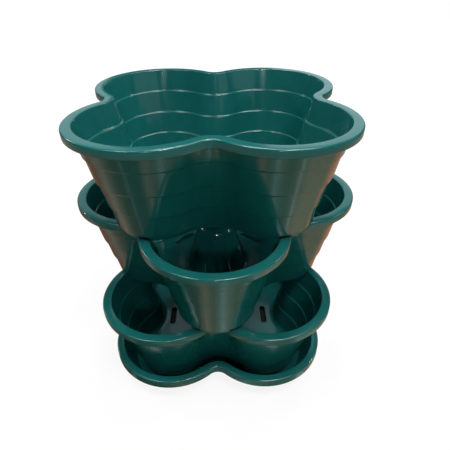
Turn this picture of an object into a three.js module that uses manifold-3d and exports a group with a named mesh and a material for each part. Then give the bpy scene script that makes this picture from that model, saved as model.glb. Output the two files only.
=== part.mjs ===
// Vertical planter tower: three four-lobed pots stacked on a matching saucer.
// Every other pot is turned by half a lobe, so its lobes stand over the valleys
// of the pot below and that pot's own lobes stay open for planting.
// Millimetres, +Z up, origin on the ground under the middle of the saucer.

import * as THREE from 'three';
import { mergeVertices } from 'three/addons/utils/BufferGeometryUtils.js';
import Module from 'manifold-3d';

const wasm = await Module();
wasm.setup();

// Rim of a pot: four round lobes joined by small round valleys, which point inwards
const lobeCount = 4;
const lobeCentre = 89.2; // axis to the centre of a lobe
const rimLobeRadius = 80.8; // outer edge of the flange round a lobe
const rimValleyRadius = 14.9; // outer edge of the flange in a valley
const flangeWidth = 10.7;
const flangeThickness = 2.2;
const lipHeight = 8.4; // rim down to the lower edge of the hanging lip
const lipThickness = 2.2;
const rimEdgeRadius = 1.8;

// Wall of a pot: it leans in towards the foot, in bands with a small step between them
const wallHeight = 109.5; // rim down to the lower edge of the wall
const wallThickness = 2.2;
const wallLean = 19.6; // how far the bands lean in together
const lobeDrawIn = 1.8; // how far the lobe centres come in towards the foot
const bandCount = 4;
const stepDepth = 1.8;
const stepRise = 0.9;

// Foot of a pot: a set-in ring under the wall, with a raised floor inside it
const footHeight = 5.8;
const footSetIn = 3.5;
const footRingWidth = 3;
const floorRaise = 2.6; // ground to the underside of the floor
const floorThickness = 2.2;

// Notches in the foot ring, where it crosses the flange of the pot below
const notchDepth = 2;
const notchClearance = 0.8;
const seatGap = 0.3;

// Hollow cone that stands in the middle of each pot
const coneHeight = 60; // floor to its top
const coneTopRadius = 22;
const coneFootRadius = 41;
const coneShoulderRadius = 9;
const coneFlareRadius = 3.5;

// Drain slots in the floor, one under each valley
const slotLength = 34;
const slotWidth = 7.5;
const slotMargin = 7; // floor edge to the slot, in the valley

// Saucer: the same four lobes, a little smaller and much lower
const saucerRoom = 12.3; // how much larger its floor's lobes are than those of the pot's foot
const saucerLobeDrawIn = 2; // how far its lobe centres lie inside those of the foot
const saucerHeight = 36.4;
const saucerFlangeWidth = 9.2;
const saucerLipHeight = 11;
const saucerThickness = 2.2;
const saucerWallLean = 13.4; // how far the wall comes in from the flange to the floor
const saucerCornerRadius = 2.5;

// Cutters reach this far past the face that they cut
const overrun = 1;

// Facets
const lobeFacets = 10;
const valleyFacets = 6;
const roundFacets = 28;
const bendFacets = 3;

// Finish
const potColour = 0x0b4f42;
const potRoughness = 0.32;

const halfLobe = Math.PI / lobeCount;

// Insets of the wall's lower edge and of the foot from the outer edge of the rim
const wallFootInset = flangeWidth - wallThickness + wallLean + stepDepth * (bandCount - 1);
const footInset = wallFootInset + footSetIn;
const footLobeCentre = lobeCentre - lobeDrawIn;

// The arcs of the lobes at one height. A positive inset draws them in all round: the lobes
// shrink by the inset and the valleys grow by it. The arcs meet at an angle to the lobe's axis.
function lobedArcs(centre, lobeRadius, valleyRadius, inset) {
  const lobe = lobeRadius - inset;
  const valley = valleyRadius + inset;
  const side = centre * Math.sin(halfLobe);
  const valleyCentre = centre * Math.cos(halfLobe) + Math.sqrt((lobe + valley) ** 2 - side ** 2);
  const meet = Math.atan2(
    valleyCentre * Math.sin(halfLobe),
    valleyCentre * Math.cos(halfLobe) - centre,
  );
  return { lobe, valley, valleyCentre, meet };
}

// Closed outline through those arcs
function lobedOutline(centre, lobeRadius, valleyRadius, inset) {
  const { lobe, valley, valleyCentre, meet } = lobedArcs(centre, lobeRadius, valleyRadius, inset);
  const points = [];
  for (let n = 0; n < lobeCount; n += 1) {
    const turn = 2 * halfLobe * n;
    const middle = new THREE.Vector2(centre, 0).rotateAround(new THREE.Vector2(), turn);
    for (let i = 0; i < lobeFacets; i += 1) {
      const angle = turn - meet + (2 * meet * i) / lobeFacets;
      points.push(new THREE.Vector2(lobe, 0).rotateAround(new THREE.Vector2(), angle).add(middle));
    }
    const hollow = new THREE.Vector2(valleyCentre, 0);
    hollow.rotateAround(new THREE.Vector2(), turn + halfLobe);
    const sweep = 2 * (meet - halfLobe);
    for (let i = 0; i < valleyFacets; i += 1) {
      const angle = turn + meet + Math.PI - (sweep * i) / valleyFacets;
      points.push(new THREE.Vector2(valley, 0).rotateAround(new THREE.Vector2(), angle).add(hollow));
    }
  }
  return points;
}

// Closed solid through a stack of like outlines, each lifted to its own height,
// with the first and the last closed by a flat fan about the axis
function loft(rings) {
  const count = rings[0].outline.length;
  const places = [];
  for (const { outline, z } of rings) {
    for (const point of outline) {
      places.push(point.x, point.y, z);
    }
  }
  const firstCentre = places.length / 3;
  places.push(0, 0, rings[0].z);
  places.push(0, 0, rings.at(-1).z);
  const faces = [];
  for (let i = 0; i < count; i += 1) {
    const next = (i + 1) % count;
    faces.push(firstCentre, next, i);
    for (let level = 0; level + 1 < rings.length; level += 1) {
      const low = level * count;
      const high = low + count;
      faces.push(low + i, low + next, high + next);
      faces.push(low + i, high + next, high + i);
    }
    const last = (rings.length - 1) * count;
    faces.push(firstCentre + 1, last + i, last + next);
  }
  const geometry = new THREE.BufferGeometry();
  geometry.setAttribute('position', new THREE.Float32BufferAttribute(places, 3));
  geometry.setIndex(faces);
  return geometry;
}

// Solid of revolution about +Z from a profile of radius and height that runs
// from the axis on top, down the outside and back to the axis
function revolve(profile) {
  return new THREE.LatheGeometry(profile, roundFacets).rotateX(Math.PI / 2);
}

// Upright prism over a flat shape, between two heights
function prism(shape, bottom, top) {
  const settings = { depth: top - bottom, bevelEnabled: false, curveSegments: bendFacets * 2 };
  return new THREE.ExtrudeGeometry(shape, settings).translate(0, 0, bottom);
}

// A closed geometry as a solid that can be joined and cut
function toSolid(geometry) {
  const bare = geometry.clone();
  bare.deleteAttribute('normal');
  bare.deleteAttribute('uv');
  const merged = mergeVertices(bare);
  const corners = merged.index.array;
  const triVerts = [];
  for (let i = 0; i < corners.length; i += 3) {
    const [a, b, c] = corners.slice(i, i + 3);
    if (a !== b && b !== c && c !== a) {
      triVerts.push(a, b, c);
    }
  }
  const mesh = new wasm.Mesh({
    numProp: 3,
    vertProperties: new Float32Array(merged.attributes.position.array),
    triVerts: new Uint32Array(triVerts),
  });
  return new wasm.Manifold(mesh);
}

// The solid's surface as a geometry with flat facets
function toGeometry(solid) {
  const { vertProperties, triVerts } = solid.getMesh();
  const geometry = new THREE.BufferGeometry();
  geometry.setAttribute('position', new THREE.BufferAttribute(vertProperties, 3));
  geometry.setIndex(new THREE.BufferAttribute(triVerts, 1));
  geometry.computeVertexNormals();
  return geometry;
}

// Hanging lip and flange shared by pots and saucer: out under the flange, down the
// inside of the lip, up its outer face, over the round edge and in to the mouth
function rimSection(rim) {
  const underFlange = rim.z - rim.thickness;
  return [
    { inset: rim.width - rim.thickness, z: underFlange },
    { inset: rim.lip, z: underFlange },
    { inset: rim.lip, z: rim.z - rim.lipHeight },
    { inset: 0, z: rim.z - rim.lipHeight },
    { inset: 0, z: rim.z - rimEdgeRadius },
    { inset: rimEdgeRadius * (1 - Math.SQRT1_2), z: rim.z - rimEdgeRadius * (1 - Math.SQRT1_2) },
    { inset: rimEdgeRadius, z: rim.z },
    { inset: rim.width, z: rim.z },
  ];
}

// One pot, standing on its foot with a lobe towards +X
const potHeight = wallHeight + footHeight;

// Steps of the wall from the rim down, on the face that lies this far inside the outer one.
// The inner face's ledges lie higher, so that the wall keeps its thickness across a step.
function wallSteps(depth) {
  const rings = [];
  const bandHeight = wallHeight / bandCount;
  const slope = Math.atan2(stepRise, stepDepth);
  const lift = (depth * (1 - Math.sin(slope))) / Math.cos(slope);
  for (let step = 1; step < bandCount; step += 1) {
    const lean = flangeWidth - wallThickness + depth + (wallLean * step) / bandCount;
    const z = potHeight - bandHeight * step + lift;
    rings.push({ inset: lean + stepDepth * (step - 1), z: z + stepRise / 2 });
    rings.push({ inset: lean + stepDepth * step, z: z - stepRise / 2 });
  }
  return rings;
}

function potShell() {
  const floorTop = floorRaise + floorThickness;
  const rim = {
    z: potHeight,
    width: flangeWidth,
    thickness: flangeThickness,
    lip: lipThickness,
    lipHeight,
  };
  const section = [
    { inset: footInset + footRingWidth, z: floorRaise },
    { inset: footInset + footRingWidth, z: 0 },
    { inset: footInset, z: 0 },
    { inset: footInset, z: footHeight },
    { inset: wallFootInset, z: footHeight },
    ...wallSteps(0).reverse(),
    ...rimSection(rim),
    ...wallSteps(wallThickness),
    { inset: wallFootInset + wallThickness, z: footHeight + floorThickness },
    { inset: footInset + wallThickness, z: floorTop },
  ];
  const rings = section.map(({ inset, z }) => {
    const drop = Math.min(Math.max((potHeight - z) / wallHeight, 0), 1);
    const centre = lobeCentre - lobeDrawIn * drop;
    return { outline: lobedOutline(centre, rimLobeRadius, rimValleyRadius, inset), z };
  });
  return toSolid(loft(rings));
}

// Solid cone with a round shoulder and a flared foot, drawn in by a skin thickness
function cone(skin, bottom) {
  const floorTop = floorRaise + floorThickness;
  const top = floorTop + coneHeight - skin;
  const slope = Math.atan2(coneFootRadius - coneTopRadius, coneHeight);
  const side = skin / Math.cos(slope);
  const shoulder = coneShoulderRadius - skin;
  const bend = Math.PI / 2 - slope;
  const shoulderX = coneTopRadius - coneShoulderRadius * Math.tan(bend / 2);
  const flareX = coneFootRadius - side + coneFlareRadius * Math.tan(bend / 2);
  const profile = [new THREE.Vector2(0, top)];
  for (let i = 0; i <= bendFacets; i += 1) {
    const angle = Math.PI / 2 - (bend * i) / bendFacets;
    const x = shoulderX + shoulder * Math.cos(angle);
    profile.push(new THREE.Vector2(x, top - shoulder + shoulder * Math.sin(angle)));
  }
  if (skin === 0) {
    for (let i = 0; i <= bendFacets; i += 1) {
      const angle = Math.PI + slope + (bend * i) / bendFacets;
      const x = flareX + coneFlareRadius * Math.cos(angle);
      profile.push(new THREE.Vector2(x, floorTop + coneFlareRadius * (1 + Math.sin(angle))));
    }
    profile.push(new THREE.Vector2(flareX, bottom));
  } else {
    const drop = floorTop - bottom;
    profile.push(new THREE.Vector2(coneFootRadius - side + drop * Math.tan(slope), bottom));
  }
  profile.push(new THREE.Vector2(0, bottom));
  return toSolid(revolve(profile.reverse()));
}

// Slot with round ends, lying across its valley
function drainSlot(index) {
  const floorInset = footInset + wallThickness;
  const floor = lobedArcs(footLobeCentre, rimLobeRadius, rimValleyRadius, floorInset);
  const slotCentre = floor.valleyCentre - floor.valley - slotMargin - slotWidth / 2;
  const end = (slotLength - slotWidth) / 2;
  const shape = new THREE.Shape();
  shape.absarc(0, end, slotWidth / 2, 0, Math.PI);
  shape.absarc(0, -end, slotWidth / 2, Math.PI, 2 * Math.PI);
  const slot = prism(shape, floorRaise - overrun, floorRaise + floorThickness + overrun);
  slot.translate(slotCentre, 0, 0);
  return toSolid(slot.rotateZ(halfLobe * (2 * index + 1)));
}

// The flange of the pot below, as this pot's foot meets it, with room all round
function flangeBelow() {
  const outer = lobedOutline(lobeCentre, rimLobeRadius, rimValleyRadius, -notchClearance);
  const innerInset = flangeWidth + notchClearance;
  const inner = lobedOutline(lobeCentre, rimLobeRadius, rimValleyRadius, innerInset);
  const shape = new THREE.Shape(outer);
  shape.holes.push(new THREE.Path(inner));
  return toSolid(prism(shape, -overrun, notchDepth).rotateZ(halfLobe));
}

function pot() {
  let solid = potShell().add(cone(0, floorRaise + floorThickness / 2));
  solid = solid.subtract(cone(wallThickness, floorRaise - overrun));
  for (let n = 0; n < lobeCount; n += 1) {
    solid = solid.subtract(drainSlot(n));
  }
  return toGeometry(solid.subtract(flangeBelow()));
}

// Saucer that the lowest pot stands in
function saucer() {
  const rim = {
    z: saucerHeight,
    width: saucerFlangeWidth,
    thickness: saucerThickness,
    lip: saucerThickness,
    lipHeight: saucerLipHeight,
  };
  const wallFoot = saucerFlangeWidth - saucerThickness + saucerWallLean;
  const inner = wallFoot + saucerThickness;
  const lobeRadius = rimLobeRadius - footInset + saucerRoom + inner;
  const section = [
    { inset: wallFoot + saucerCornerRadius, z: 0 },
    { inset: wallFoot, z: saucerCornerRadius },
    ...rimSection(rim),
    { inset: inner, z: saucerThickness + saucerCornerRadius },
    { inset: inner + saucerCornerRadius, z: saucerThickness },
  ];
  const rings = section.map(({ inset, z }) => ({
    outline: lobedOutline(footLobeCentre - saucerLobeDrawIn, lobeRadius, rimValleyRadius, inset),
    z,
  }));
  return loft(rings);
}

function piece(name, geometry) {
  const material = new THREE.MeshStandardMaterial({
    color: potColour,
    roughness: potRoughness,
    metalness: 0,
  });
  const mesh = new THREE.Mesh(geometry, material);
  mesh.name = name;
  return mesh;
}

// Tower: the saucer and the first pot have their lobes on the diagonals,
// and each pot above is turned by half a lobe
const group = new THREE.Group();

const dish = piece('saucer', saucer());
dish.rotation.z = halfLobe;
group.add(dish);

const tierPitch = potHeight - notchDepth + seatGap;
['lower_pot', 'middle_pot', 'top_pot'].forEach((name, tier) => {
  const mesh = piece(name, pot());
  mesh.position.z = saucerThickness + seatGap + tierPitch * tier;
  mesh.rotation.z = halfLobe * ((tier + 1) % 2);
  group.add(mesh);
});

export default group;
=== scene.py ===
import math

import bmesh
import bpy
from mathutils import Euler, Matrix, Vector


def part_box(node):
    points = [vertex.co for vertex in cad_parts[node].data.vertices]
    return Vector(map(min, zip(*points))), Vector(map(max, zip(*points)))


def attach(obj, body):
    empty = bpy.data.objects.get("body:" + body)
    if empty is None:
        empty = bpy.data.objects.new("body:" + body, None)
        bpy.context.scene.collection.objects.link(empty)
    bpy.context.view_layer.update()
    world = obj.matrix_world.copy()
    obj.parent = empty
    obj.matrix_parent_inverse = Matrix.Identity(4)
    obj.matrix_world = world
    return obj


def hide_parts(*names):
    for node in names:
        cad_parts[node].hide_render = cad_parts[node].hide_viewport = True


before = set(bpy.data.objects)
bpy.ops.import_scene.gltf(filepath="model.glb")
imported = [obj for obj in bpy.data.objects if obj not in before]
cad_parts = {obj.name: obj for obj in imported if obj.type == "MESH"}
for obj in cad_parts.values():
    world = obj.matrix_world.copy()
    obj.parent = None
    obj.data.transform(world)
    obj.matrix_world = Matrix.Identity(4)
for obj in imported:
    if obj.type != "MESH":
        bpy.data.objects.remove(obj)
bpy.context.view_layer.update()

scene = bpy.context.scene

# Saucer: a low four-lobed dish of glossy green polypropylene, injection moulded in one piece.
# Its wall leans out to a flat flange with a deep hanging lip, and the lowest pot stands
# loose on its floor with room all round for the water that drains through.

LOBES = 4
HALF_LOBE = math.pi / LOBES  # half the angle from one lobe to the next
SAUCER_LOBE_CENTRE = 0.0854
SAUCER_LOBE_RADIUS = 0.0787
SAUCER_VALLEY_RADIUS = 0.0149
SAUCER_FLANGE = 0.0092
SAUCER_LIP = 0.0110
SAUCER_SKIN = 0.0022
SAUCER_WALL_LEAN = 0.0134
SAUCER_CORNER = 0.0045
SAUCER_FLOOR_RUN = 0.0150
SAUCER_RIM_EDGE = 0.0018
SAUCER_TURN = HALF_LOBE
LIP_EDGE = 0.0007
LIP_ROOT = 0.0008
MOUTH_EDGE = 0.0009
ARC_STEP = math.radians(20)
LOBED, ROUND = 0, 1  # whether a chain of section points follows the lobes or a circle


def softened(corners):
    """The corner points (x, z, radius), each rounded by an arc of its radius."""
    points = [corners[0][:2]]
    for before, corner, after in zip(corners, corners[1:], corners[2:]):
        x, z, radius = corner
        back = (before[0] - x, before[1] - z)
        ahead = (after[0] - x, after[1] - z)
        back_length = math.hypot(*back)
        ahead_length = math.hypot(*ahead)
        cosine = (back[0] * ahead[0] + back[1] * ahead[1]) / back_length / ahead_length
        turn = math.acos(max(-1, min(1, cosine)))
        reach = radius / math.tan(turn / 2) if radius else 0
        steps = max(1, round((math.pi - turn) / ARC_STEP)) if radius else 0
        start = (x + back[0] / back_length * reach, z + back[1] / back_length * reach)
        end = (x + ahead[0] / ahead_length * reach, z + ahead[1] / ahead_length * reach)
        for i in range(steps + 1):
            share = i / steps if steps else 0
            near = (1 - share) ** 2
            mid = 2 * share * (1 - share) * math.cos((math.pi - turn) / 2)
            far = share ** 2
            total = near + mid + far
            points.append((
                (near * start[0] + mid * x + far * end[0]) / total,
                (near * start[1] + mid * z + far * end[1]) / total,
            ))
    points.append(corners[-1][:2])
    return points


def section_object(name, chains, closed=False):
    """The points of a moulded section as a mesh: x is the inset from the rim's outer edge,
    or the radius where the chain is round, y tells which of the two, and z is the height."""
    mesh = bpy.data.meshes.new(name)
    points = [(x, is_round, z) for is_round, chain in chains for x, z in chain]
    if closed:
        points.append(points[0])
    mesh.from_pydata(points, [], [])
    holder = bpy.data.objects.new(name, mesh)
    scene.collection.objects.link(holder)
    return holder


def add_node(tree, kind, inputs=None, **settings):
    """A new node with its settings, and its inputs set or linked by name or number."""
    made = tree.nodes.new(kind)
    for key, value in settings.items():
        setattr(made, key, value)
    for key, value in (inputs or {}).items():
        if isinstance(value, bpy.types.NodeSocket):
            tree.links.new(value, made.inputs[key])
        else:
            made.inputs[key].default_value = value
    return made


def maths(tree, operation, *values):
    """The result of one sum, on sockets or numbers."""
    made = add_node(tree, "ShaderNodeMath", dict(enumerate(values)), operation=operation)
    return made.outputs[0]


def either(tree, test, when_true, when_false):
    """One of two values, by a true or false socket."""
    made = add_node(
        tree, "GeometryNodeSwitch",
        {"Switch": test, "True": when_true, "False": when_false}, input_type="FLOAT",
    )
    return made.outputs[0]


WELD_GAP = 0.00001


def lobed_tree():
    """Geometry nodes that draw a section round four lobes joined by small valleys. An inset
    shrinks the lobes and widens the valleys, so that the wall keeps its thickness."""
    tree = bpy.data.node_groups.new("Lobed moulding", "GeometryNodeTree")
    face = tree.interface
    face.new_socket("Section", in_out="INPUT", socket_type="NodeSocketObject")
    for name in (
        "Lobe Centre", "Lobe Radius", "Valley Radius", "Draw In", "Draw Top", "Draw Height",
    ):
        face.new_socket(name, in_out="INPUT", socket_type="NodeSocketFloat")
    for name in ("Lobe Steps", "Valley Steps"):
        face.new_socket(name, in_out="INPUT", socket_type="NodeSocketInt")
    face.new_socket("Turn", in_out="INPUT", socket_type="NodeSocketFloat")
    face.new_socket("Cutters", in_out="INPUT", socket_type="NodeSocketObject")
    face.new_socket("Plastic", in_out="INPUT", socket_type="NodeSocketMaterial")
    face.new_socket("Moulding", in_out="OUTPUT", socket_type="NodeSocketGeometry")
    given = tree.nodes.new("NodeGroupInput").outputs

    # A grid with one column for each place round the lobes and one row for each section point
    drawn = add_node(tree, "GeometryNodeObjectInfo", {"Object": given["Section"]})
    section = drawn.outputs["Geometry"]
    counted = add_node(tree, "GeometryNodeAttributeDomainSize", {"Geometry": section})
    rows = counted.outputs["Point Count"]
    period = maths(tree, "ADD", given["Lobe Steps"], given["Valley Steps"])
    columns = maths(tree, "MULTIPLY_ADD", period, LOBES, 1)
    grid = add_node(tree, "GeometryNodeMeshGrid", {"Vertices X": columns, "Vertices Y": rows})
    index = add_node(tree, "GeometryNodeInputIndex").outputs[0]
    column = maths(tree, "FLOOR", maths(tree, "DIVIDE", index, rows))
    row = maths(tree, "SUBTRACT", index, maths(tree, "MULTIPLY", column, rows))
    place = add_node(tree, "GeometryNodeInputPosition").outputs[0]
    sample = add_node(
        tree, "GeometryNodeSampleIndex",
        {"Geometry": section, "Value": place, "Index": row}, data_type="FLOAT_VECTOR",
    )
    sampled = add_node(tree, "ShaderNodeSeparateXYZ", {0: sample.outputs[0]}).outputs
    inset, is_round, height = sampled[0], sampled[1], sampled[2]

    # The lobe centres come in a little towards the foot
    fallen = maths(tree, "SUBTRACT", given["Draw Top"], height)
    fallen_share = maths(tree, "DIVIDE", fallen, given["Draw Height"])
    share = add_node(tree, "ShaderNodeClamp", {"Value": fallen_share}).outputs[0]
    drawn_in = maths(tree, "MULTIPLY", given["Draw In"], share)
    centre = maths(tree, "SUBTRACT", given["Lobe Centre"], drawn_in)

    # Where the lobe's circle meets the valley's, from the triangle of their centres
    side = maths(tree, "MULTIPLY", centre, math.sin(HALF_LOBE))
    span = maths(tree, "ADD", given["Lobe Radius"], given["Valley Radius"])
    span_squared = maths(tree, "MULTIPLY", span, span)
    side_squared = maths(tree, "MULTIPLY", side, side)
    reach = maths(tree, "SQRT", maths(tree, "SUBTRACT", span_squared, side_squared))
    valley_centre = maths(tree, "MULTIPLY_ADD", centre, math.cos(HALF_LOBE), reach)
    valley_x = maths(tree, "MULTIPLY", valley_centre, math.cos(HALF_LOBE))
    valley_y = maths(tree, "MULTIPLY", valley_centre, math.sin(HALF_LOBE))
    meet = maths(tree, "ARCTAN2", valley_y, maths(tree, "SUBTRACT", valley_x, centre))

    # Angle, centre and radius of the arc that each column lies on
    period_number = maths(tree, "FLOOR", maths(tree, "DIVIDE", column, period))
    step = maths(tree, "SUBTRACT", column, maths(tree, "MULTIPLY", period_number, period))
    on_lobe = maths(tree, "LESS_THAN", step, given["Lobe Steps"])
    lobe_share = maths(tree, "DIVIDE", step, given["Lobe Steps"])
    lobe_angle = maths(tree, "MULTIPLY", meet, maths(tree, "MULTIPLY_ADD", lobe_share, 2, -1))
    valley_step = maths(tree, "SUBTRACT", step, given["Lobe Steps"])
    valley_share = maths(tree, "DIVIDE", valley_step, given["Valley Steps"])
    sweep = maths(tree, "MULTIPLY_ADD", meet, 2, -2 * HALF_LOBE)
    valley_start = maths(tree, "ADD", meet, math.pi)
    swept = maths(tree, "MULTIPLY", sweep, valley_share)
    valley_angle = maths(tree, "SUBTRACT", valley_start, swept)
    angle = either(tree, on_lobe, lobe_angle, valley_angle)
    straight = maths(tree, "SUBTRACT", 1, is_round)
    true_inset = maths(tree, "MULTIPLY", inset, straight)
    lobe_radius = maths(tree, "SUBTRACT", given["Lobe Radius"], true_inset)
    valley_radius = maths(tree, "ADD", given["Valley Radius"], true_inset)
    radius = either(tree, on_lobe, lobe_radius, valley_radius)
    centre_x = either(tree, on_lobe, centre, valley_x)
    centre_y = either(tree, on_lobe, 0, valley_y)
    x = maths(tree, "MULTIPLY_ADD", maths(tree, "COSINE", angle), radius, centre_x)
    y = maths(tree, "MULTIPLY_ADD", maths(tree, "SINE", angle), radius, centre_y)

    # A round row keeps each column's direction but takes its radius from the section
    x_squared = maths(tree, "MULTIPLY", x, x)
    y_squared = maths(tree, "MULTIPLY", y, y)
    length = maths(tree, "SQRT", maths(tree, "ADD", x_squared, y_squared))
    scale = either(tree, is_round, maths(tree, "DIVIDE", inset, length), 1)
    flat = add_node(
        tree, "ShaderNodeCombineXYZ",
        {0: maths(tree, "MULTIPLY", x, scale), 1: maths(tree, "MULTIPLY", y, scale), 2: height},
    ).outputs[0]
    turned = maths(tree, "MULTIPLY_ADD", period_number, 2 * HALF_LOBE, given["Turn"])
    spun = add_node(
        tree, "ShaderNodeVectorRotate", {"Vector": flat, "Angle": turned}, rotation_type="Z_AXIS",
    ).outputs[0]
    set_place = add_node(
        tree, "GeometryNodeSetPosition", {"Geometry": grid.outputs["Mesh"], "Position": spun})
    welded = add_node(
        tree, "GeometryNodeMergeByDistance",
        {"Geometry": set_place.outputs[0], "Distance": WELD_GAP},
    ).outputs[0]

    # Slots and notches are cut right through
    plugs = add_node(tree, "GeometryNodeObjectInfo", {"Object": given["Cutters"]})
    cutters = plugs.outputs["Geometry"]
    cut = add_node(
        tree, "GeometryNodeMeshBoolean", {"Mesh 1": welded, "Mesh 2": cutters},
        operation="DIFFERENCE", solver="EXACT",
    ).outputs["Mesh"]
    has_cutters = add_node(tree, "GeometryNodeAttributeDomainSize", {"Geometry": cutters})
    wanted = maths(tree, "GREATER_THAN", has_cutters.outputs["Point Count"], 0)
    chosen = add_node(
        tree, "GeometryNodeSwitch", {"Switch": wanted, "True": cut, "False": welded},
        input_type="GEOMETRY",
    ).outputs[0]
    real = add_node(tree, "GeometryNodeRealizeInstances", {"Geometry": chosen}).outputs[0]
    finished = add_node(
        tree, "GeometryNodeSetMaterial", {"Geometry": real, "Material": given["Plastic"]},
    ).outputs[0]
    result = tree.nodes.new("NodeGroupOutput")
    tree.links.new(finished, result.inputs["Moulding"])
    return tree


LOBED_TREE = lobed_tree()
LOBE_STEPS = 44
VALLEY_STEPS = 18
SHARP_FROM = math.radians(35)
UNDRAWN_HEIGHT = 1.0  # a piece that isn't drawn in still needs a height to divide by


def moulding(name, values, plastic):
    """A plain mesh from the lobed tree with these named inputs, its faces pointing out."""
    carrier = bpy.data.objects.new(name + "_carrier", bpy.data.meshes.new(name + "_carrier"))
    scene.collection.objects.link(carrier)
    modifier = carrier.modifiers.new("Lobed moulding", "NODES")
    modifier.node_group = LOBED_TREE
    given = {
        "Lobe Steps": LOBE_STEPS, "Valley Steps": VALLEY_STEPS,
        "Draw Height": UNDRAWN_HEIGHT, "Plastic": plastic, **values,
    }
    for item in LOBED_TREE.interface.items_tree:
        if item.in_out == "INPUT" and item.name in given:
            modifier[item.identifier] = given[item.name]
    carrier.update_tag()
    evaluated = carrier.evaluated_get(bpy.context.evaluated_depsgraph_get())
    mesh = bpy.data.meshes.new_from_object(evaluated)
    mesh.name = name
    bpy.data.objects.remove(carrier)
    shape = bmesh.new()
    shape.from_mesh(mesh)
    bmesh.ops.recalc_face_normals(shape, faces=shape.faces)
    shape.to_mesh(mesh)
    shape.free()
    mesh.shade_smooth()
    mesh.set_sharp_from_angle(angle=SHARP_FROM)
    made = bpy.data.objects.new(name, mesh)
    scene.collection.objects.link(made)
    return made


def shade_tree(name, inputs, outputs):
    """An empty shader group with named inputs, (name, kind, value), and named outputs."""
    tree = bpy.data.node_groups.new(name, "ShaderNodeTree")
    for label, kind, value in inputs:
        socket = tree.interface.new_socket(label, in_out="INPUT", socket_type="NodeSocket" + kind)
        socket.default_value = value
    for label, kind in outputs:
        tree.interface.new_socket(label, in_out="OUTPUT", socket_type="NodeSocket" + kind)
    return tree


EVEN = (1, 1, 1)


def patches(tree, size, stretch, turn=(0, 0, 0), detail=2.0):
    """Soft noise on the object's own coordinates: a size in metres, stretched on x, y and z."""
    place = add_node(tree, "ShaderNodeTexCoord").outputs["Object"]
    laid = add_node(
        tree, "ShaderNodeMapping", {"Vector": place, "Rotation": turn, "Scale": stretch},
        vector_type="TEXTURE",
    ).outputs[0]
    return add_node(
        tree, "ShaderNodeTexNoise",
        {"Vector": laid, "Scale": maths(tree, "DIVIDE", 1.0, size), "Detail": detail},
    ).outputs[0]


def ramp(tree, value, low, high, start=0.0, end=1.0):
    """A smooth rise from start to end while the value goes from low to high."""
    return add_node(
        tree, "ShaderNodeMapRange",
        {"Value": value, "From Min": low, "From Max": high, "To Min": start, "To Max": end},
        interpolation_type="SMOOTHSTEP",
    ).outputs[0]


STREAK_STRETCH = (1, 1, 9)
STREAK_BAND = (0.35, 0.70)
PATCH_STRETCH = (1, 1, 1.6)
PATCH_BAND = (0.35, 0.65)


def mould_flow():
    """Where the melt ran down the wall: upright streaks, and broad patches of another tone
    and gloss."""
    tree = shade_tree(
        "Mould flow",
        [("Streak Width", "Float", 0.008), ("Patch Size", "Float", 0.07)],
        [("Streaks", "Float"), ("Patches", "Float")],
    )
    given = add_node(tree, "NodeGroupInput").outputs
    result = add_node(tree, "NodeGroupOutput")
    streaks = patches(tree, given["Streak Width"], STREAK_STRETCH, detail=3.0)
    tree.links.new(ramp(tree, streaks, *STREAK_BAND), result.inputs["Streaks"])
    broad = patches(tree, given["Patch Size"], PATCH_STRETCH)
    tree.links.new(ramp(tree, broad, *PATCH_BAND), result.inputs["Patches"])
    return tree


SCUFF_TURNS = ((0.2, 0.0, 0.5), (1.1, 0.3, -0.4), (0.5, 1.2, 1.9))
SCUFF_STRETCH = (14, 1, 1)
SCUFF_PATCH = 0.03
SCUFF_BAND = (0.52, 0.68)
NOISE_MIDDLE = 0.5


def hairline_scuffs():
    """Fine scuffs from stacking and handling, in three directions, here and there."""
    tree = shade_tree(
        "Hairline scuffs",
        [("Spacing", "Float", 0.004), ("Line Share", "Float", 0.03)],
        [("Scuffs", "Float")],
    )
    given = add_node(tree, "NodeGroupInput").outputs
    result = add_node(tree, "NodeGroupOutput")
    total = None
    for turn in SCUFF_TURNS:
        waves = patches(tree, given["Spacing"], SCUFF_STRETCH, turn, detail=1.0)
        off = maths(tree, "ABSOLUTE", maths(tree, "SUBTRACT", waves, NOISE_MIDDLE))
        line = ramp(tree, off, 0.0, given["Line Share"], 1.0, 0.0)
        where = ramp(tree, patches(tree, SCUFF_PATCH, EVEN, turn), *SCUFF_BAND)
        marked = maths(tree, "MULTIPLY", line, where)
        total = marked if total is None else maths(tree, "MAXIMUM", total, marked)
    tree.links.new(total, result.inputs["Scuffs"])
    return tree


DUST_TILT = (0.30, 0.95)
DUST_BAND = (0.35, 0.72)
DUST_THINNEST = 0.25


def settled_dust():
    """A thin film on what faces up, thicker in patches."""
    tree = shade_tree("Settled dust", [("Patch Size", "Float", 0.02)], [("Dust", "Float")])
    given = add_node(tree, "NodeGroupInput").outputs
    result = add_node(tree, "NodeGroupOutput")
    facing = add_node(tree, "ShaderNodeNewGeometry").outputs["Normal"]
    upward = add_node(tree, "ShaderNodeSeparateXYZ", {0: facing}).outputs["Z"]
    film = ramp(tree, upward, *DUST_TILT)
    cloud = patches(tree, given["Patch Size"], EVEN, detail=5.0)
    thick = ramp(tree, cloud, *DUST_BAND, DUST_THINNEST, 1.0)
    tree.links.new(maths(tree, "MULTIPLY", film, thick), result.inputs["Dust"])
    return tree


CREASE_BAND = (0.60, 0.96)


def crease_shade():
    """Painted shade: dark where ambient occlusion finds narrow creases, in the drain slots and
    round what stands on the part."""
    tree = shade_tree("Crease shade", [("Reach", "Float", 0.004)], [("Crease", "Float")])
    given = add_node(tree, "NodeGroupInput").outputs
    result = add_node(tree, "NodeGroupOutput")
    open_share = add_node(
        tree, "ShaderNodeAmbientOcclusion", {"Distance": given["Reach"]},
    ).outputs["AO"]
    tree.links.new(ramp(tree, open_share, *CREASE_BAND, 1.0, 0.0), result.inputs["Crease"])
    return tree


# Ragged edge of the painted shade on the saucer's floor under the drain slots
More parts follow.
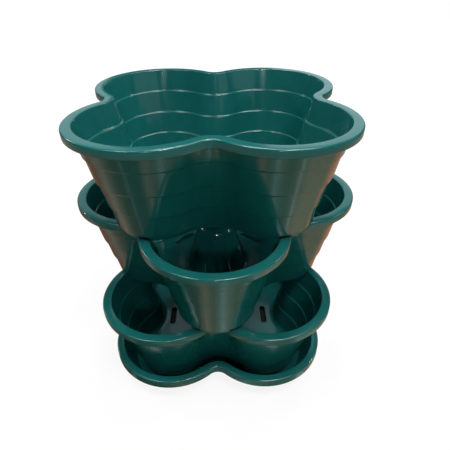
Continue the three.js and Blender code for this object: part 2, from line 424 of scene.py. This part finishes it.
SLOT_SHADE_CLUMP = 0.006
SLOT_SHADE_RAGGED = 0.5
SLOT_SHADE_EDGE = (0.8, 1.7)
FACING_UP = 0.5


def painted_slot_shade():
    """Painted shade: near-black patches on the saucer's floor under each of the four drain slots.
    """
    tree = shade_tree(
        "Painted slot shade",
        [("Floor Height", "Float", 0.0026), ("Slot Centre", "Float", 0.07),
         ("Patch Width", "Float", 0.010), ("Patch Length", "Float", 0.022)],
        [("Slot Shade", "Float")],
    )
    given = add_node(tree, "NodeGroupInput").outputs
    result = add_node(tree, "NodeGroupOutput")
    place = add_node(tree, "ShaderNodeTexCoord").outputs["Object"]
    across = add_node(tree, "ShaderNodeSeparateXYZ", {0: place}).outputs
    side = maths(tree, "ABSOLUTE", across["X"])
    front = maths(tree, "ABSOLUTE", across["Y"])
    outward = maths(tree, "SUBTRACT", maths(tree, "MAXIMUM", side, front), given["Slot Centre"])
    outward = maths(tree, "DIVIDE", outward, given["Patch Width"])
    along = maths(tree, "DIVIDE", maths(tree, "MINIMUM", side, front), given["Patch Length"])
    along_squared = maths(tree, "MULTIPLY", along, along)
    away = maths(tree, "SQRT", maths(tree, "MULTIPLY_ADD", outward, outward, along_squared))
    ragged = maths(tree, "MULTIPLY_ADD", patches(tree, SLOT_SHADE_CLUMP, EVEN), SLOT_SHADE_RAGGED, away)
    facing = add_node(tree, "ShaderNodeNewGeometry").outputs["Normal"]
    upward = add_node(tree, "ShaderNodeSeparateXYZ", {0: facing}).outputs["Z"]
    level = maths(tree, "GREATER_THAN", upward, FACING_UP)
    low = maths(tree, "LESS_THAN", across["Z"], given["Floor Height"])
    on_floor = maths(tree, "MULTIPLY", level, low)
    washed = ramp(tree, ragged, *SLOT_SHADE_EDGE, 1.0, 0.0)
    tree.links.new(maths(tree, "MULTIPLY", washed, on_floor), result.inputs["Slot Shade"])
    return tree


WAVE_STRETCH = (1, 1, 2.2)


def moulded_relief():
    """Walls that shrank a little unevenly as they cooled, under the mould's fine grain."""
    tree = shade_tree(
        "Moulded relief",
        [("Wave Size", "Float", 0.03), ("Wave Height", "Float", 0.0003),
         ("Grain Size", "Float", 0.0011), ("Grain Height", "Float", 0.00001),
         ("Scuffs", "Float", 0.0), ("Scuff Depth", "Float", 0.00002)],
        [("Normal", "Vector")],
    )
    given = add_node(tree, "NodeGroupInput").outputs
    result = add_node(tree, "NodeGroupOutput")
    wave = patches(tree, given["Wave Size"], WAVE_STRETCH, detail=1.0)
    grain = patches(tree, given["Grain Size"], EVEN, detail=1.0)
    scored = maths(tree, "MULTIPLY", given["Scuffs"], -1.0)
    normal = None
    layers = ((wave, "Wave Height"), (grain, "Grain Height"), (scored, "Scuff Depth"))
    for height, depth in layers:
        inputs = {"Height": height, "Distance": given[depth]}
        if normal is not None:
            inputs["Normal"] = normal
        normal = add_node(tree, "ShaderNodeBump", inputs).outputs[0]
    tree.links.new(normal, result.inputs["Normal"])
    return tree


def place_group(tree, group, inputs=None):
    """One of the shader groups in a material, with this material's own values."""
    return add_node(tree, "ShaderNodeGroup", inputs, node_tree=group)


def mix_colour(tree, share, first, second):
    """Two colours mixed by a mask."""
    made = add_node(tree, "ShaderNodeMix", {0: share, 6: first, 7: second}, data_type="RGBA")
    return made.outputs[2]


GREEN_DEEP = (0.0042, 0.087, 0.084, 1)
GREEN_FULL = (0.0050, 0.097, 0.094, 1)
STREAK_GREEN = (0.0062, 0.105, 0.100, 1)
SCUFF_GREEN = (0.040, 0.14, 0.13, 1)
DUST_GREY = (0.20, 0.24, 0.24, 1)
# Near-black green of the painted shade in narrow creases
CREASE_SHADE_GREEN = (0.0010, 0.010, 0.009, 1)
# Near black of the painted shade on the saucer's floor under the drain slots
SLOT_SHADE_BLACK = (0.0060, 0.0065, 0.0055, 1)
POLISHED_ROUGHNESS = 0.10
PATCH_DULLING = 0.04
PLASTIC_IOR = 1.5


def green_plastic():
    """Glossy bottle-green polypropylene as it comes from a polished mould."""
    material = bpy.data.materials.new("bottle_green_plastic")
    material.use_nodes = True
    tree = material.node_tree
    shader = tree.nodes["Principled BSDF"]
    flow = place_group(
        tree, mould_flow(), {"Streak Width": 0.008, "Patch Size": 0.06}).outputs
    scuffs = place_group(
        tree, hairline_scuffs(), {"Spacing": 0.004, "Line Share": 0.012}).outputs["Scuffs"]
    dust = place_group(tree, settled_dust(), {"Patch Size": 0.02}).outputs["Dust"]
    # Painted shade in narrow creases and round what stands on the part, from ambient occlusion
    crease = place_group(tree, crease_shade(), {"Reach": 0.004}).outputs["Crease"]
    # Painted shade on the saucer's floor under the drain slots
    slot_shade = place_group(
        tree, painted_slot_shade(), {"Slot Centre": 0.07, "Patch Length": 0.022}).outputs["Slot Shade"]
    relief = place_group(tree, moulded_relief(), {
        "Wave Size": 0.032, "Wave Height": 0.0006,
        "Grain Size": 0.0012, "Grain Height": 0.000012,
        "Scuffs": scuffs, "Scuff Depth": 0.000004,
    }).outputs["Normal"]

    # What lies on the green, in turn: where, how much it covers, its colour, how much it dulls
    colour = mix_colour(tree, flow["Patches"], GREEN_DEEP, GREEN_FULL)
    roughness = maths(
        tree, "MULTIPLY_ADD", flow["Patches"], PATCH_DULLING, POLISHED_ROUGHNESS)
    for mask, cover, tone, dulling in (
        (flow["Streaks"], 0.35, STREAK_GREEN, 0.04),
        (scuffs, 0.10, SCUFF_GREEN, 0.08),
        (dust, 0.012, DUST_GREY, 0.06),
        # Painted shade in narrow creases
        (crease, 0.85, CREASE_SHADE_GREEN, 0.40),
        # Painted shade under the drain slots
        (slot_shade, 0.92, SLOT_SHADE_BLACK, 0.50),
    ):
        colour = mix_colour(tree, maths(tree, "MULTIPLY", mask, cover), colour, tone)
        roughness = maths(tree, "MULTIPLY_ADD", mask, dulling, roughness)
    tree.links.new(colour, shader.inputs["Base Color"])
    tree.links.new(roughness, shader.inputs["Roughness"])
    tree.links.new(relief, shader.inputs["Normal"])
    shader.inputs["IOR"].default_value = PLASTIC_IOR
    return material


PLASTIC = green_plastic()


def rim_corners(rim_z, flange, skin, lip, edge):
    """Out under the flange, round the hanging lip, and over the flat top to the mouth."""
    return [
        (flange - skin, rim_z - skin, LIP_ROOT),
        (skin, rim_z - skin, LIP_ROOT),
        (skin, rim_z - lip, LIP_EDGE),
        (0, rim_z - lip, LIP_EDGE),
        (0, rim_z, edge),
        (flange, rim_z, MOUTH_EDGE),
    ]


saucer_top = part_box("saucer")[1][2]
saucer_foot = SAUCER_FLANGE - SAUCER_SKIN + SAUCER_WALL_LEAN
saucer_chain = softened([
    (saucer_foot + SAUCER_FLOOR_RUN, 0, 0),
    (saucer_foot, 0, SAUCER_CORNER),
    *rim_corners(saucer_top, SAUCER_FLANGE, SAUCER_SKIN, SAUCER_LIP, SAUCER_RIM_EDGE),
    (saucer_foot + SAUCER_SKIN, SAUCER_SKIN, SAUCER_CORNER - SAUCER_SKIN / 2),
    (saucer_foot + SAUCER_SKIN + SAUCER_FLOOR_RUN, SAUCER_SKIN, 0),
])
saucer_section = section_object("saucer_section", [
    (ROUND, [(0, 0)]),
    (LOBED, saucer_chain),
    (ROUND, [(0, SAUCER_SKIN)]),
])
saucer = moulding("saucer_dish", {
    "Section": saucer_section,
    "Lobe Centre": SAUCER_LOBE_CENTRE,
    "Lobe Radius": SAUCER_LOBE_RADIUS,
    "Valley Radius": SAUCER_VALLEY_RADIUS,
    "Turn": SAUCER_TURN,
}, PLASTIC)
bpy.data.objects.remove(saucer_section)
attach(saucer, "saucer")
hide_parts("saucer")

# Pots: three like mouldings of the same green plastic, thin-walled and open on top, whose
# walls lean in to the foot in four bands with a fine step between them. A hollow cone stands
# on the floor, and the foot ring has notches that sit on the flange of the pot below.

POT_LOBE_CENTRE = 0.0892
POT_LOBE_RADIUS = 0.0808
POT_VALLEY_RADIUS = 0.0149
POT_FLANGE = 0.0107
POT_LIP = 0.0084
POT_SKIN = 0.0022
POT_RIM_EDGE = 0.0018
POT_WALL_HEIGHT = 0.1095
POT_WALL_LEAN = 0.0196
POT_DRAW_IN = 0.0018
POT_BANDS = 4
STEP_DEPTH = 0.0018
STEP_RISE = 0.0009
STEP_BEND = 0.0016
FOOT_SET_IN = 0.0035
FOOT_RING = 0.0030
FLOOR_RAISE = 0.0026
CONE_HEIGHT = 0.0600
CONE_TOP_RADIUS = 0.0220
CONE_FOOT_RADIUS = 0.0410
CONE_SHOULDER = 0.0090
CONE_FLARE = 0.0045
SLOT_LENGTH = 0.0340
SLOT_WIDTH = 0.0075
SLOT_CENTRE = 0.0700
SLOT_CHAMFER = 0.0006
SLOT_POINTS = 24
NOTCH_DEPTH = 0.0020
NOTCH_CLEARANCE = 0.0008
PAST_FACE = 0.0010
SMALL_BEND = 0.0006


def wall_steps(top, depth):
    """Corners of the steps from the rim down, on the face this deep inside the outer one.
    The inner ledges lie higher, so that the wall keeps its thickness across a step."""
    corners = []
    slope = math.atan2(STEP_RISE, STEP_DEPTH)
    lift = depth * (1 - math.sin(slope)) / math.cos(slope)
    for step in range(1, POT_BANDS):
        lean = POT_FLANGE - POT_SKIN + depth + POT_WALL_LEAN * step / POT_BANDS
        z = top - POT_WALL_HEIGHT * step / POT_BANDS + lift
        corners.append((lean + STEP_DEPTH * (step - 1), z + STEP_RISE / 2, STEP_BEND))
        corners.append((lean + STEP_DEPTH * step, z - STEP_RISE / 2, STEP_BEND))
    return corners


def pot_section(ground, top):
    """The whole section of a pot from the top of its hollow, round its rim, to the top of
    its cone."""
    wall_foot = POT_FLANGE - POT_SKIN + POT_WALL_LEAN + STEP_DEPTH * (POT_BANDS - 1)
    foot = wall_foot + FOOT_SET_IN
    under = ground + FLOOR_RAISE
    floor = under + POT_SKIN
    shelf = top - POT_WALL_HEIGHT
    slope = math.atan2(CONE_FOOT_RADIUS - CONE_TOP_RADIUS, CONE_HEIGHT)
    side = POT_SKIN / math.cos(slope)
    cone_top = floor + CONE_HEIGHT
    hollow = softened([
        (0, cone_top - POT_SKIN, 0),
        (CONE_TOP_RADIUS - side + POT_SKIN * math.tan(slope), cone_top - POT_SKIN,
         CONE_SHOULDER - POT_SKIN),
        (CONE_FOOT_RADIUS - side + POT_SKIN * math.tan(slope), under, SMALL_BEND),
        (CONE_FOOT_RADIUS + CONE_FLARE, under, 0),
    ])
    shell = softened([
        (foot + FOOT_RING + CONE_FLARE, under, 0),
        (foot + FOOT_RING, under, SMALL_BEND),
        (foot + FOOT_RING, ground, SMALL_BEND),
        (foot, ground, SMALL_BEND),
        (foot, shelf, SMALL_BEND),
        (wall_foot, shelf, 2 * SMALL_BEND),
        *reversed(wall_steps(top, 0)),
        *rim_corners(top, POT_FLANGE, POT_SKIN, POT_LIP, POT_RIM_EDGE),
        *wall_steps(top, POT_SKIN),
        (wall_foot + POT_SKIN, shelf + POT_SKIN, POT_SKIN),
        (foot + POT_SKIN, floor, POT_SKIN),
        (foot + POT_SKIN + CONE_FLARE, floor, 0),
    ])
    cone = softened([
        (CONE_FOOT_RADIUS + 2 * CONE_FLARE, floor, 0),
        (CONE_FOOT_RADIUS, floor, CONE_FLARE),
        (CONE_TOP_RADIUS, cone_top, CONE_SHOULDER),
        (0, cone_top, 0),
    ])
    return [(ROUND, hollow), (LOBED, shell), (ROUND, cone)]


def drain_slots(ground, turn):
    """Four closed plugs with round ends and a flared top, one for each slot."""
    shape = bmesh.new()
    floor = ground + FLOOR_RAISE + POT_SKIN
    half = SLOT_WIDTH / 2
    straight = (SLOT_LENGTH - SLOT_WIDTH) / 2
    levels = [
        (ground + FLOOR_RAISE - PAST_FACE, half),
        (floor - SLOT_CHAMFER, half),
        (floor + SLOT_CHAMFER, half + 2 * SLOT_CHAMFER),
        (floor + PAST_FACE, half + 2 * SLOT_CHAMFER),
    ]
    for n in range(LOBES):
        spin = turn + HALF_LOBE * (2 * n + 1)
        rings = []
        for z, radius in levels:
            ring = []
            for i in range(SLOT_POINTS):
                angle = 2 * math.pi * (i + 0.5) / SLOT_POINTS
                x = SLOT_CENTRE + radius * math.cos(angle)
                y = radius * math.sin(angle) + math.copysign(straight, math.sin(angle))
                turned_x = x * math.cos(spin) - y * math.sin(spin)
                turned_y = x * math.sin(spin) + y * math.cos(spin)
                ring.append(shape.verts.new((turned_x, turned_y, z)))
            rings.append(ring)
        for low, high in zip(rings, rings[1:]):
            for i in range(SLOT_POINTS):
                ahead = (i + 1) % SLOT_POINTS
                shape.faces.new((low[i], low[ahead], high[ahead], high[i]))
        shape.faces.new(reversed(rings[0]))
        shape.faces.new(rings[-1])
    return shape


def pot_cutters(ground, turn):
    """The drain slots, and the flange of the pot below with room all round."""
    section = section_object("flange_below_section", [(LOBED, [
        (-NOTCH_CLEARANCE, ground - PAST_FACE),
        (-NOTCH_CLEARANCE, ground + NOTCH_DEPTH),
        (POT_FLANGE + NOTCH_CLEARANCE, ground + NOTCH_DEPTH),
        (POT_FLANGE + NOTCH_CLEARANCE, ground - PAST_FACE),
    ])], closed=True)
    flange = moulding("flange_below", {
        "Section": section,
        "Lobe Centre": POT_LOBE_CENTRE,
        "Lobe Radius": POT_LOBE_RADIUS,
        "Valley Radius": POT_VALLEY_RADIUS,
        "Turn": turn + HALF_LOBE,
    }, None)
    shape = drain_slots(ground, turn)
    shape.from_mesh(flange.data)
    shape.to_mesh(flange.data)
    shape.free()
    bpy.data.objects.remove(section)
    return flange


for node, turn in (("lower_pot", HALF_LOBE), ("middle_pot", 0), ("top_pot", HALF_LOBE)):
    low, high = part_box(node)
    section = section_object(node + "_section", pot_section(low[2], high[2]))
    cutters = pot_cutters(low[2], turn)
    pot = moulding(node + "_moulding", {
        "Section": section,
        "Lobe Centre": POT_LOBE_CENTRE,
        "Lobe Radius": POT_LOBE_RADIUS,
        "Valley Radius": POT_VALLEY_RADIUS,
        "Draw In": POT_DRAW_IN,
        "Draw Top": high[2],
        "Draw Height": POT_WALL_HEIGHT,
        "Turn": turn,
        "Cutters": cutters,
    }, PLASTIC)
    bpy.data.objects.remove(section)
    bpy.data.objects.remove(cutters)
    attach(pot, node)
    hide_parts(node)

# Floor: a plain pale sheet that runs past the view and keeps the tower's soft shadow. To the
# plastic it is a warm ground in strips by the bearing from the tower, with painted light and
# shade: mostly darker on the left and lighter in front and on the right, with narrow pale strips
# of painted window light, which fade into one tone further out.

FLOOR_HALF = 6.0
PALE_GREY = (0.85, 0.85, 0.85, 1)
FAR_BROWN = (0.30, 0.26, 0.20, 1)
WHITE = (1, 1, 1, 1)
WHITE_SHARE = 0.88
WHITE_NEAR = 1.0
WHITE_FAR = 1.14

# Distances from the tower's axis between which the white grows and the strips fade
WHITE_RISE = (0.5, 1.5)
STRIPS_FADE = (0.50, 0.75)

# Each strip's share of the way round the tower, from behind it past its left, and its colour:
# painted light and shade on a brown ground, and three narrow pale bluish strips of painted
# window light.
PAINTED_LIGHT_GROUND_STRIPS = (
    (0.20, (0.20, 0.075, 0.04)),
    (0.26, (0.42, 0.32, 0.25)),
    (0.33, (0.14, 0.08, 0.03)),
    (0.362, (0.10, 0.07, 0.03)),
    (0.370, (0.34, 0.42, 0.40)),
    (0.380, (0.10, 0.07, 0.03)),
    (0.43, (0.12, 0.09, 0.05)),
    (0.46, (0.60, 0.40, 0.28)),
    (0.49, (0.30, 0.23, 0.15)),
    (0.51, (0.38, 0.40, 0.34)),
    (0.525, (0.62, 0.80, 0.76)),
    (0.545, (0.44, 0.40, 0.28)),
    (0.58, (0.26, 0.20, 0.12)),
    (0.612, (0.40, 0.31, 0.20)),
    (0.624, (0.90, 1.0, 0.97)),
    (0.636, (0.46, 0.35, 0.22)),
    (0.66, (0.70, 0.48, 0.29)),
    (0.76, (0.28, 0.22, 0.13)),
    (0.80, (0.46, 0.20, 0.12)),
)

floor_mesh = bpy.data.meshes.new("floor")
floor_mesh.from_pydata(
    [(-FLOOR_HALF, -FLOOR_HALF, 0), (FLOOR_HALF, -FLOOR_HALF, 0),
     (FLOOR_HALF, FLOOR_HALF, 0), (-FLOOR_HALF, FLOOR_HALF, 0)], [], [(0, 1, 2, 3)])
floor = bpy.data.objects.new("floor", floor_mesh)
scene.collection.objects.link(floor)
floor_material = bpy.data.materials.new("pale_floor")
floor_material.use_nodes = True
tree = floor_material.node_tree
tree.nodes.clear()
place = add_node(tree, "ShaderNodeTexCoord").outputs["Object"]
across = add_node(tree, "ShaderNodeSeparateXYZ", {0: place}).outputs

# The bearing from the tower as a share of the way round: 0.5 in front of it, 0.75 on its right
bearing = maths(tree, "ARCTAN2", across["X"], maths(tree, "MULTIPLY", across["Y"], -1))
way_round = maths(tree, "MULTIPLY_ADD", bearing, 0.5 / math.pi, 0.5)
ground = add_node(tree, "ShaderNodeValToRGB", {0: way_round})
strips = ground.color_ramp
strips.elements[0].position = 0.0
for share, colour in PAINTED_LIGHT_GROUND_STRIPS:
    strips.elements.new(share).color = (*colour, 1)
strips.elements.remove(strips.elements[0])
strips.elements.remove(strips.elements[-1])

# White to the camera, but for a share of plain grey that takes the tower's shadow
ray = tree.nodes.new("ShaderNodeLightPath")
far = add_node(tree, "ShaderNodeVectorMath", {0: place}, operation="LENGTH").outputs["Value"]
faded = ramp(tree, far, *STRIPS_FADE)
# Painted light and shade in strips, seen only by rays that are not the camera's
reflected = mix_colour(tree, faded, ground.outputs[0], FAR_BROWN)
tint = mix_colour(tree, ray.outputs["Is Camera Ray"], reflected, PALE_GREY)
sheet = add_node(tree, "ShaderNodeBsdfDiffuse", {"Color": tint})
strength = ramp(tree, far, *WHITE_RISE, WHITE_NEAR, WHITE_FAR)
white = add_node(tree, "ShaderNodeEmission", {"Color": WHITE, "Strength": strength})
seen = maths(tree, "MULTIPLY", ray.outputs["Is Camera Ray"], WHITE_SHARE)
mixed = add_node(tree, "ShaderNodeMixShader", {0: seen, 1: sheet.outputs[0], 2: white.outputs[0]})
add_node(tree, "ShaderNodeOutputMaterial", {"Surface": mixed.outputs[0]})
floor_mesh.materials.append(floor_material)

# Light: a ring of soft square panels overhead, pale windows behind, above and in front on the
# right, whose sheen lies on the flanges, and four small lamps for the bright spots on the
# cone's shoulder and on the rims' edges.

SKY_TINT = (0.80, 0.95, 1.0, 1)
SKY_STRENGTH = 0.06
KEY_WHITE = (1.0, 0.99, 0.97)
WINDOW_BLUE = (0.80, 0.93, 1.0)
ROOF_BLUE = (0.70, 0.92, 1.0)
FRONT_BLUE = (0.86, 0.97, 1.0)
LAMP_WHITE = (1.0, 0.98, 0.95)
BACKDROP_STRENGTH = 1.0
LIGHT_AIM = Vector((0, 0, 0.2))

# Name, place, width, height, power and colour
PANELS = (
    ("front_key", (0.48, -0.78, 2.3), 0.5, 0.5, 28, KEY_WHITE),
    ("right_key", (0.95, -0.55, 2.2), 0.5, 0.5, 6, KEY_WHITE),
    ("back_key", (0.0, 0.9, 2.3), 0.5, 0.5, 20, KEY_WHITE),
    ("corner_key", (0.7, 0.6, 2.25), 0.5, 0.5, 9, KEY_WHITE),
    ("left_key", (-0.8, -0.4, 2.25), 0.5, 0.5, 15, KEY_WHITE),
    ("side_key", (-1.0, 0.0, 2.2), 0.5, 0.5, 4, KEY_WHITE),
    ("left_window", (-1.88, 3.2, 1.35), 1.8, 2.2, 9, WINDOW_BLUE),
    ("right_window", (1.38, 3.45, 1.35), 1.8, 2.2, 12, WINDOW_BLUE),
    ("roof_window", (0.15, 2.45, 2.85), 1.6, 0.9, 4.5, ROOF_BLUE),
    ("front_window", (3.2, -3.0, 1.3), 4.4, 2.4, 14, FRONT_BLUE),
    ("right_lamp", (1.60, 0.10, 1.12), 0.12, 0.12, 5, LAMP_WHITE),
    ("left_lamp", (-1.42, 0.66, 1.06), 0.12, 0.12, 5, LAMP_WHITE),
    ("brow_lamp", (0.10, -1.70, 1.15), 0.09, 0.09, 5, LAMP_WHITE),
    ("front_lamp", (0.0, -2.0, 0.50), 0.08, 0.08, 1.5, LAMP_WHITE),
)

world = bpy.data.worlds.new("soft_surround")
scene.world = world
world.use_nodes = True
tree = world.node_tree
tree.nodes.clear()
ray = tree.nodes.new("ShaderNodeLightPath")
surround = add_node(tree, "ShaderNodeBackground", {"Color": SKY_TINT, "Strength": SKY_STRENGTH})
backdrop = add_node(tree, "ShaderNodeBackground", {"Color": WHITE, "Strength": BACKDROP_STRENGTH})
mixed = add_node(tree, "ShaderNodeMixShader", {
    0: ray.outputs["Is Camera Ray"], 1: surround.outputs[0], 2: backdrop.outputs[0]})
add_node(tree, "ShaderNodeOutputWorld", {"Surface": mixed.outputs[0]})

for name, place, width, height, power, colour in PANELS:
    lamp = bpy.data.lights.new(name, "AREA")
    lamp.shape = "RECTANGLE"
    lamp.size = width
    lamp.size_y = height
    lamp.energy = power
    lamp.color = colour
    holder = bpy.data.objects.new(name, lamp)
    holder.location = place
    holder.rotation_euler = (LIGHT_AIM - Vector(place)).to_track_quat("-Z", "Y").to_euler()
    scene.collection.objects.link(holder)

# Camera: the photograph's viewpoint, from a perspective fit to the four rims. It is close in
# front and looks steeply down, with a slight turn to the right and a slight lean.

LENS = 31.66
SENSOR = 36
CLIP_START = 0.01
VIEWPOINT = (0.0082, -0.4369, 0.4715)
PITCH = math.radians(33.98)
YAW = math.radians(0.43)
ROLL = math.radians(-0.41)
camera_data = bpy.data.cameras.new("photo_camera")
camera_data.lens = LENS
camera_data.sensor_width = SENSOR
camera_data.clip_start = CLIP_START
camera = bpy.data.objects.new("photo_camera", camera_data)
camera.location = VIEWPOINT
level_view = Euler((math.pi / 2 - PITCH, 0, -YAW)).to_matrix()
camera.rotation_euler = (level_view @ Matrix.Rotation(ROLL, 3, "Z")).to_euler()
scene.collection.objects.link(camera)
scene.camera = camera
scene.view_settings.view_transform = "Standard"
